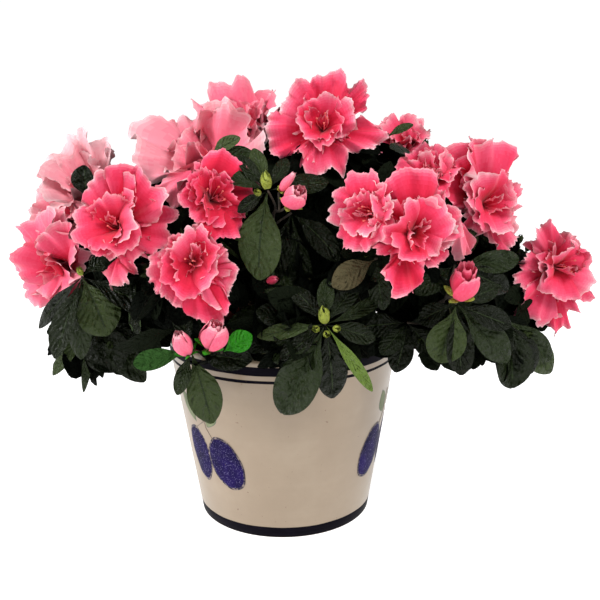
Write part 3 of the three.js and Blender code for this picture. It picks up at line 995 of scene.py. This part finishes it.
def add_wrapped_bud(heap, rng, base, facing, length, girth, opening, shift):
    """A flower bud: broad petals wrapped round each other on an egg, their rims curling out."""
    axes = axes_from(facing)
    roll = rng.uniform(0, 2 * pi)
    t, f = share_grid((12, 22))
    for n in range(8):
        layer = n / 7
        turn = roll + n * GOLDEN_ANGLE + f * radians(mix(72, 80, layer)) * (1 - 0.35 * t**4)
        top = mix(0.97 - 0.46 * opening, 0.92, layer) * (1 - 0.14 * np.abs(f) ** 3)
        phase = rng.uniform(0, 6, 3)
        profile = np.sin(pi * (0.08 + mix(0.84, 0.60, opening) * t) ** 0.9) ** 0.7
        radius = girth * mix(1.0, 0.26, layer) * profile * (1 + 0.05 * np.sin(2 * f + phase[0]))
        rim = smooth(0.82, 1.0, t) * (0.7 + 0.3 * np.sin(4 * f + phase[1]) + 0.2 * np.sin(13 * f + phase[2]))
        radius = radius + girth * (0.05 + 0.16 * opening) * rim
        height = length * t * top + 0.02 * length * np.sin(7 * f + phase[2]) * smooth(0.8, 1, t)
        points = base + radius[..., None] * around(axes, turn) + height[..., None] * axes[0]
        # The inner layers are painted 0.04 a layer darker: painted shade where the outer petals shadow them.
        tone = 0.34 + shift + 0.12 * t + 0.26 * smooth(0.84, 1.0, t) - 0.04 * layer + rng.normal(0, 0.03)
        middle = (tone[:-1, :-1] + tone[1:, 1:]) / 2
        heap.add_grid(points, blossom_tones(middle + rng.normal(0, 0.02, middle.shape)))


def add_scale_bud(heap, rng, base, axis, length, tone, cells=(7, 8)):
    """A small green bud at a shoot's tip: overlapping scales round a pointed egg."""
    axes = axes_from(axis, (0.3, 0.2, 1.0))
    t, f = share_grid(cells)
    roll = rng.uniform(0, 2 * pi)
    for n in range(6):
        layer = n / 5
        height = t * mix(0.7, 1.0, layer) * (1 - 0.3 * np.abs(f) ** 2)
        turn = roll + n * GOLDEN_ANGLE + f * radians(76) * (1 - 0.6 * t**3)
        profile = np.sin(pi * np.clip(0.10 + 0.86 * height, 0, 1) ** 0.8) ** 0.8
        radius = length * (0.34 - 0.05 * layer) * profile * (1 + 0.12 * smooth(0.7, 1.0, t))
        points = base + radius[..., None] * around(axes, turn) + (length * 1.1 * height)[..., None] * axes[0]
        heap.add_grid(points, tone, np.stack([t, f], -1).reshape(-1, 2))


# ---- the crown

# Places are from the middle of a mass: right, back and up. A clock angle is seen from outside,
# in degrees clockwise from up.
#
# Blooms that give the front its look: mass, place of the bloom's middle, bearing and elevation
# that it faces, size, whorls, tone shift and gain, the roll of its petals in degrees and its seed.
# Outer petals of its own may follow: clock angle, length, half spread, lean, how far its rim is lobed.
# A high tone shift, as on the pale blooms at the upper left, paints them paler: partly their petals' paler
# backs, partly painted glow of light through the petals.
FRONT_BLOOMS = (
    ("left", (-4, -2, 16), 246, 60, 1.0, TALL, 0.72, 0.30, 10, 101),
    ("left", (-20, -12, -1), 236, 22, 0.84, BROAD, 0.60, 0.34, 30, 2),
    ("left", (-21, -29, -30), 230, 2, 1.16, OPEN, 0.34, 0.62, 40, 403),
    (
        "front_left", (-25, -13, 25), 262, 22, 0.90, INNER, 0.05, 0.95, 20, 304,
        (354, 32, 48, 74, 1.1), (39, 38, 45, 76, 1.1), (96, 36, 37, 84, 1.3), (137, 27, 43, 84, 1.3),
        (182, 19, 43, 84, 1.2), (226, 18, 40, 80, 1.2), (299, 23, 40, 80, 1.1),
    ),
    ("left_top", (7, -6, 8), 254, 58, 1.16, WIDE, 0.58, 0.42, 0, 605),
    ("front_left", (31, -10, 38), 292, 24, 0.78, OPEN, -0.10, 1.0, 60, 1206),
    ("left_top", (26, 15, 23), 250, 62, 0.88, TALL, 0.44, 0.48, 35, 307),
    (
        "top", (4, -31, 16.5), 268, 28, 0.82, INNER, 0.04, 1.0, 15, 108,
        (311, 30, 51, 72, 0.9), (8, 34, 36, 64, 1.0), (52, 35, 20, 72, 0.9), (109, 35, 27, 86, 1.2),
        (180, 32, 40, 86, 1.2), (256, 35, 34, 84, 1.0), (97, 21, 34, 78, 1.1), (212, 26, 30, 80, 1.0),
    ),
    ("right_top", (-19, 28, 25), 256, 50, 0.80, CUPPED, 0.26, 0.75, 0, 309),
    ("front_right", (-19, -20, 20), 234, 14, 0.72, OPEN, 0.05, 0.95, 30, 810),
    (
        "front_right", (7, -33, 12), 276, 12, 0.82, INNER, 0.02, 1.0, 54, 1211,
        (345, 35, 51, 74, 1.0), (58, 28, 45, 78, 1.2), (104, 23, 40, 82, 1.3), (149, 22, 43, 84, 1.3),
        (218, 21, 43, 84, 1.2), (262, 24, 40, 82, 1.2), (307, 26, 43, 76, 1.2),
    ),
    ("right_top", (-14, -38, 10), 246, 44, 0.70, CUPPED, 0.06, 0.95, 0, 412),
    (
        "right_top", (24, -42, -8), 290, 16, 0.88, INNER, 0.12, 0.92, 18, 913,
        (0, 41, 45, 74, 1.1), (54, 25, 40, 84, 1.2), (113, 22, 40, 88, 1.2), (155, 32, 28, 94, 1.0),
        (220, 20, 43, 86, 1.2), (289, 17, 43, 80, 1.1), (313, 40, 43, 88, 0.9), (342, 39, 37, 78, 1.1),
    ),
    (
        "right", (20, -22, 8), 286, 8, 0.92, INNER, 0.08, 0.92, 0, 414,
        (331, 33, 28, 80, 0.9), (16, 23, 37, 80, 1.1), (64, 22, 40, 86, 1.2), (113, 24, 40, 88, 1.2),
        (146, 31, 37, 90, 1.2), (181, 39, 24, 92, 1.0), (213, 40, 34, 90, 1.1), (252, 31, 34, 90, 1.2),
        (301, 28, 37, 84, 1.1),
    ),
    (
        "front_left", (18, -30, 7), 266, 14, 0.80, INNER, 0.05, 0.95, 50, 1115,
        (352, 20, 48, 72, 1.1), (40, 22, 43, 76, 1.1), (101, 22, 40, 84, 1.2), (128, 28, 40, 92, 1.2),
        (162, 34, 37, 96, 1.3), (207, 25, 43, 86, 1.2), (251, 26, 40, 84, 1.2), (297, 20, 43, 78, 1.1),
    ),
)
# Single petals that hang from a bloom or stand up from it: mass, place of the base, bearing and
# elevation, clock angle, length, half spread, lean, how far the rim is lobed, tone shift, gain, seed.
SINGLE_PETALS = (
    ("front_right", (0, -24, 3), 276, 5, 181, 26, 42, 80, 0.8, 0.0, 1.0, 1301),
    ("front_left", (-23, -2, 4), 262, 5, 158, 19, 46, 66, 0.8, 0.24, 0.75, 102),
    ("left", (-3, -39, -29), 246, 10, 345, 30, 42, 64, 0.6, 0.18, 0.75, 3),
    ("right_top", (3, -44, -16), 285, 5, 183, 25, 22, 78, 1.2, 0.60, 0.35, 4),
    ("left_top", (0, -30, -1), 262, 10, 216, 26, 34, 84, 1.0, 0.56, 0.40, 5),
)
# Flower buds at the front: mass, place of the base, bearing and elevation, length, girth (the
# radius), how far open (0 to 1), tone shift, and the tone of the green below.
FRONT_BUDS = (
    ("right_low", (-12, -48, 26), 276, 60, 26.0, 8.2, 0.62, 0.06, YOUNG + 2),
    ("front_left", (27, -24, -40), 300, 60, 19.0, 7.8, 0.26, 0.22, YOUNG),
    ("front_left", (15, -22, -44), 236, 60, 16.0, 5.8, 0.12, 0.24, YOUNG),
    ("middle", (9, -48, 24), 305, 40, 15.0, 6.8, 0.34, 0.20, YOUNG + 2),
    ("middle", (5, -47, 31), 328, 48, 13.0, 2.6, 0.05, 0.26, YOUNG + 2),
    ("middle", (-3, -40, -18), 320, 20, 8.0, 2.4, 0.05, 0.05, 4),
)
# Shoots that face the front: mass, place of the tip, bearing and elevation of the shoot, green
# buds, and the leaves: clock angle, tilt from the shoot, length, width and tone.
FRONT_SHOOTS = (
    (
        "front", (7, -31, 6), 274, 30, 4,
        (268, 112, 38, 9, 3), (207, 122, 56, 23, 2), (168, 124, 43, 17, 0), (141, 118, 48, 7, YOUNG + 1),
        (72, 98, 35, 8, 2), (39, 96, 26, 10, 1), (326, 98, 26, 10, 0), (103, 112, 28, 11, 1),
        (236, 118, 30, 11, 0), (0, 80, 22, 9, 2),
    ),
    (
        "left_low", (0, -32, 34), 262, 34, 1,
        (150, 112, 34, 25, 3), (110, 110, 47, 16, 0), (199, 120, 47, 14, 1), (186, 124, 46, 15, 2),
        (232, 118, 42, 10, 0), (42, 100, 20, 11, 1), (168, 128, 30, 17, 0),
    ),
    (
        "left_low", (3, -16, 6), 262, 20, 0,
        (154, 100, 31, 26, 0), (221, 108, 42, 9, 3), (192, 108, 43, 6, 2), (142, 106, 44, 17, 1),
        (226, 110, 28, 14, 0), (120, 96, 34, 15, 0),
    ),
    (
        "right_low", (-13, -42, 21), 270, 34, 1,
        (194, 116, 32, 21, 3), (130, 112, 44, 18, 2), (175, 128, 38, 15, 0), (111, 116, 32, 13, 0),
        (257, 120, 22, 12, 0), (70, 96, 24, 11, 1),
    ),
    (
        "right_low", (21, -8, 4), 286, 22, 0,
        (170, 104, 40, 24, 1), (137, 100, 48, 19, 3), (224, 106, 26, 16, 0), (130, 112, 40, 14, 2),
        (154, 98, 36, 17, 0),
    ),
    (
        "right_low", (-36, -20, 5), 270, 22, 0,
        (191, 98, 27, 14, 0), (220, 84, 22, 12, 1), (266, 82, 26, 14, 0), (138, 104, 24, 14, 0),
        (80, 90, 24, 12, 0),
    ),
    (
        "front_left", (15, -10, -46), 268, 26, 0,
        (162, 108, 41, 19, 3), (257, 106, 36, 12, YOUNG - 1), (104, 100, 32, 15, 0), (196, 112, 24, 9, 2),
        (343, 81, 26, 11, 1),
    ),
    ("front_left", (32, -16, -46), 268, 26, 0, (59, 71, 18, 12, YOUNG)),
    (
        "middle", (-2, -40, 30), 272, 34, 2,
        (194, 116, 45, 23, 3), (292, 94, 25, 9, 2), (73, 100, 34, 12, 1), (343, 94, 25, 9, 3),
        (33, 92, 21, 8, 1), (320, 96, 24, 8, 1), (236, 100, 18, 8, 0),
    ),
    ("front_right", (-12, -14, -5), 262, 10, 0, (240, 75, 27, 14, 8), (176, 92, 26, 12, 1)),
    (
        "right_low", (-11, -22, 38), 285, 18, 0,
        (92, 88, 38, 13, 2), (118, 88, 34, 14, 0), (240, 88, 28, 12, 1),
    ),
    # Its last leaf takes the dark top tone 4 as painted shade, for a leaf lying in the crown's shadow.
    ("middle", (10, -24, 16), 270, 20, 0, (172, 94, 52, 13, 1), (200, 90, 40, 14, 0), (130, 88, 36, 13, 4)),
    ("top", (41, 12, 4), 262, 50, 0, (72, 81, 17, 6.5, 3)),
    ("left", (3, -32, 7), 250, 30, 0, (3, 52, 20, 15, 4)),
    ("left_top", (10, -37, 6), 262, 40, 0, (53, 78, 19, 9, 5), (84, 84, 24, 9, 2)),
    ("left", (3, -55, 4), 250, 30, 0, (156, 118, 17, 7, 1)),
)
TOWARD_FRONT = direction(270, 13)
SHOOTS_PER_MASS = 38
# Where the rule opens a bloom: how far from the next, how high at least, with how much shade at
# most, and not where the skin turns to the front more than this.
BLOOM_SPACING, BLOOM_FLOOR, BLOOM_SHADE, FRONT_SHARE = 41.0, 134, 0.3, 0.3
INNER_SHOOTS_DROPPED = 0.3
DIM = 0.4  # the least shade on leaves along a twig, which sets how often they take the painted shade greens


def clock_direction(axis, clock, tilt):
    """A direction tilted from an axis towards a clock angle seen from outside."""
    axes, lean = axes_from(axis), radians(tilt)
    return cos(lean) * axes[0] + sin(lean) * around(axes, pi / 2 - radians(clock))


def placed(short, place, bearing, elevation):
    """The mass that a short name stands for, a place from its middle, and a direction."""
    mass = "foliage_" + short
    return mass, MASSES[mass].middle + place, direction(bearing, elevation)


class Crown:
    """Everything that grows, heaped by kind, and the places each mass's twigs run to."""

    def __init__(self, rng):
        self.rng = rng
        self.blossom = Heap("blossom", "blossom", blossom_materials())
        self.buds = Heap("buds", "buds", blossom_materials())
        self.leaves = Heap("leaves", "foliage", leaf_materials())
        self.young = Heap("young_leaves", "young_leaves", leaf_materials())
        # The twigs' bark is painted at 0.35 of the bark's tones: painted shade for twigs inside the dark
        # crown.
        self.twigs = Heap("twigs", "bark", [bark_material("twig_bark_painted_shade", 0.35)])
        filament, anther = Surface("filament", (236, 104, 116), 0.5), Surface("anther", (206, 92, 84), 0.6)
        self.stamens = Heap("stamens", "stamens", [filament.material, anther.material])
        self.clearings = Clearings()
        self.ends = {name: [] for name in MASSES}
        self.blooms = []

    def bloom(self, rng, mass, middle, facing, size, kind, shift, gain, cells=FINE, roll=None):
        base = middle - facing * (15 if kind is OPEN else 20) * size
        add_bloom(self.blossom, rng, base, facing, size, kind, shift, gain, cells, roll)
        add_calyx(self.young, rng, base - facing, facing, size, 3)
        if kind in (OPEN, INNER) and rng.uniform() < 0.5:
            add_stamens(self.stamens, rng, base + facing * 2, facing, size)
        self.clearings.add(base, facing, size * 1.3 if kind is INNER else size)
        self.blooms.append(middle)
        self.ends[mass].append(("bloom", base - facing * 3, facing))
        return base

    def front(self):
        for short, place, b, e, size, kind, shift, gain, roll, seed, *petals in FRONT_BLOOMS:
            mass, middle, facing = placed(short, place, b, e)
            rng = np.random.default_rng(seed)
            base = self.bloom(rng, mass, middle, facing, size, kind, shift, gain, roll=radians(roll))
            for petal in petals:
                add_petal(self.blossom, rng, base, facing, *petal, shift + 0.04, gain)
                clock, length = petal[:2]
                self.clearings.add(base + clock_direction(facing, clock, 88) * length * 0.60, facing, 0.62)
        for *spot, clock, length, spread, lean, lobes, shift, gain, seed in SINGLE_PETALS:
            _, base, facing = placed(*spot)
            rng = np.random.default_rng(seed)
            add_petal(self.blossom, rng, base, facing, clock, length, spread, lean, lobes, shift, gain)
            self.clearings.add(base + clock_direction(facing, clock, 90) * length * 0.6, facing, 0.5)
        rng = np.random.default_rng(5)
        for *spot, length, girth, opening, shift, tone in FRONT_BUDS:
            mass, base, facing = placed(*spot)
            add_wrapped_bud(self.buds, rng, base, facing, length, girth, opening, shift)
            add_calyx(self.young, rng, base - facing * 1.5, facing, girth / 6, tone)
            self.clearings.add(base, facing, girth / 14)
            self.ends[mass].append(("bud", base - facing * 2, facing))
        for short, place, b, e, green_buds, *blades in FRONT_SHOOTS:
            mass, tip, axis = placed(short, place, b, e)
            for clock, tilt, length, width, tone in blades:
                along = clock_direction(axis, clock, tilt)
                heap = self.young if tone >= YOUNG else self.leaves
                base, under = tip + along * 1.5, max(tone, UNDERSIDE)
                add_leaf(heap, rng, base, along, axis, length, width, tone, under, 0.35, FINE_BLADE, 0.1)
                self.clearings.add(base + along * length * 0.6, TOWARD_FRONT, 0.37)
            for n in range(green_buds):
                lean = clock_direction(axis, 350 if n == 0 else 290 - 55 * n, 62)
                tall = n == 0 and green_buds > 1
                way, long = mix(axis, lean, 0.8 if tall else 0.45), 9.0 if tall else 5.5
                add_scale_bud(self.young, rng, tip + lean * (1.0 if n == 0 else 6.0), way, long, YOUNG + 2)
            self.clearings.add(tip, axis, 0.85)
            self.ends[mass].append(("front", tip, axis))

    def all_round(self):
        """Shoots over every mass: blooms over the upper crown, leaves below and between."""
        rng = self.rng
        for order, (name, mass) in enumerate(MASSES.items()):
            for n in range(SHOOTS_PER_MASS):
                rise = degrees(asin(1 - (2 * n + 1) / SHOOTS_PER_MASS))
                way = direction(GOLDEN_DEGREES * n + 47 * order, rise)
                skin = mass.skin(way)
                outward = unit(skin - CROWN_MIDDLE + np.array([0, 0, 20]))
                facing = unit(way + outward)
                open_air = exposed(skin, outward, name)
                seen = np.dot(facing, TOWARD_FRONT) > FRONT_SHARE
                gap = min(norm(skin - b) for b in self.blooms)
                lit = open_air and shade_at(skin, facing) < BLOOM_SHADE
                room = min(head_room(skin + (x, 0, 0), 85) for x in (-18, 0, 18))
                if lit and not seen and BLOOM_FLOOR < skin[2] < room and gap > BLOOM_SPACING:
                    kind = (OPEN, OPEN, CUPPED)[rng.integers(3)]
                    shift, size = rng.uniform(0, 0.16), rng.uniform(0.82, 1.04)
                    self.bloom(rng, name, skin - facing * 4, facing, size, kind, shift, 0.92, PLAIN)
                    continue
                if not open_air and rng.uniform() < INNER_SHOOTS_DROPPED:
                    continue
                depth = (22 if seen else 18) if way[2] > -0.3 else 25
                tip = skin - way * depth
                if not self.clearings.blocked(tip[None]):
                    self.ends[name].append(("leafy" if open_air else "inner", tip, facing))

    def fill(self, bough_tips):
        """Twigs from each bough to its shoots, and the leaves along and round them."""
        rng, whorl = self.rng, (self.leaves, self.rng, self.clearings)
        for name, ends in self.ends.items():
            start, heading, radius = bough_tips[name]
            targets = [tip for _, tip, _ in ends]
            runs = grow(self.twigs, rng, start, heading, max(1.4, radius * 0.8), targets)
            for (kind, tip, facing), run in zip(ends, runs):
                # Inner shoots always, and others by the sky the crown hides, get the shade that picks
                # painted shade greens.
                shade = 1.0 if kind == "inner" else shade_at(tip + facing * 18, facing)
                if kind in ("bloom", "bud"):
                    add_whorl(*whorl, tip - facing * 2, facing, *UNDER_BLOOM, shade)
                elif kind != "front":
                    axis = unit(facing + 0.5 * run)
                    add_whorl(*whorl, tip, axis, *ROUND_TIP, shade)
                    if kind == "leafy":
                        add_scale_bud(self.young, rng, tip, axis, 6, 3, (3, 3))
                add_whorl(*whorl, tip - run * 13, run, *ALONG_TWIG, max(shade, DIM))

    def finish(self):
        heaps = (self.blossom, self.buds, self.leaves, self.young, self.twigs, self.stamens)
        made = [heap.pieces() for heap in heaps]
        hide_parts(*MASSES)
        for piece in sum(made, []):
            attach(piece, "root")


# ---- camera, floor and light

VIEW_DISTANCE = 558.4
VIEW_ELEVATION = 13.48
VIEW_TARGET = np.array([10.7, 0.0, 133.1])
VIEW_ROLL = -0.555
VIEW_LENS = 54.0
FLOOR_HALF = 12.0
# Soft boxes, in metres: name, place, width and power. All aim at the middle of the plant.
BOXES = (
    ("left_box", (-1.35, -0.4, 0.75), 0.6, 21),
    ("right_box", (0.6, -0.55, 0.85), 0.4, 7.5),
    ("top_box", (-0.15, -0.55, 1.3), 0.7, 4.0),
)
BOXES_AIM = Vector((0, 0, 0.18))


def make_camera():
    back = direction(270, VIEW_ELEVATION)
    place = VIEW_TARGET + back * VIEW_DISTANCE
    right = unit(np.cross((0, 0, 1), back))
    roll = radians(VIEW_ROLL)
    x = cos(roll) * right + sin(roll) * np.cross(back, right)
    columns = np.column_stack([x, np.cross(back, x), back, place * MM])
    lens = bpy.data.cameras.new("view")
    lens.sensor_width = 36.0
    lens.lens = VIEW_LENS
    lens.clip_start = 0.02
    camera = bpy.data.objects.new("view", lens)
    camera.matrix_world = Matrix([*columns.tolist(), (0, 0, 0, 1)])
    bpy.context.scene.collection.objects.link(camera)
    bpy.context.scene.camera = camera


def make_floor():
    mesh = bpy.data.meshes.new("floor")
    corners = [(x * FLOOR_HALF, y * FLOOR_HALF, 0) for x, y in ((-1, -1), (1, -1), (1, 1), (-1, 1))]
    mesh.from_pydata(corners, [], [(0, 1, 2, 3)])
    pale = Surface("pale_floor", 0.6, 0.9, Emission_Color=(1, 1, 1, 1), Emission_Strength=0.84)
    mesh.materials.append(pale.material)
    floor = bpy.data.objects.new("floor", mesh)
    bpy.context.scene.collection.objects.link(floor)


def make_light():
    """A pale dome, white where the camera sees it, and three soft boxes."""
    world = bpy.data.worlds.new("studio")
    world.use_nodes = True
    nodes = Nodes(world.node_tree)
    place = nodes.node("TexCoord").outputs["Generated"]
    height = nodes.node("SeparateXYZ", Vector=place).outputs["Z"]
    dome = nodes.ramp(height, (0.0, 0.60), (0.22, 0.50), (0.7, 0.30))
    seen = nodes.node("LightPath").outputs["Is Camera Ray"]
    background = world.node_tree.nodes["Background"]
    nodes.give(background.inputs["Color"], nodes.laid_over(seen, dome, 1.0))
    background.inputs["Strength"].default_value = 1.04
    bpy.context.scene.world = world
    for name, place, width, power in BOXES:
        light = bpy.data.lights.new(name, "AREA")
        light.energy = power
        light.size = width
        lamp = bpy.data.objects.new(name, light)
        lamp.location = place
        lamp.rotation_euler = (Vector(place) - BOXES_AIM).to_track_quat("Z", "Y").to_euler()
        bpy.context.scene.collection.objects.link(lamp)
    bpy.context.scene.view_settings.view_transform = "Standard"


make_camera()
make_floor()
make_light()
make_pot()
make_soil(np.random.default_rng(11))
make_painting()
crown = Crown(np.random.default_rng(23))
bough_tips = make_limbs()
crown.front()
crown.all_round()
crown.fill(bough_tips)
crown.finish()
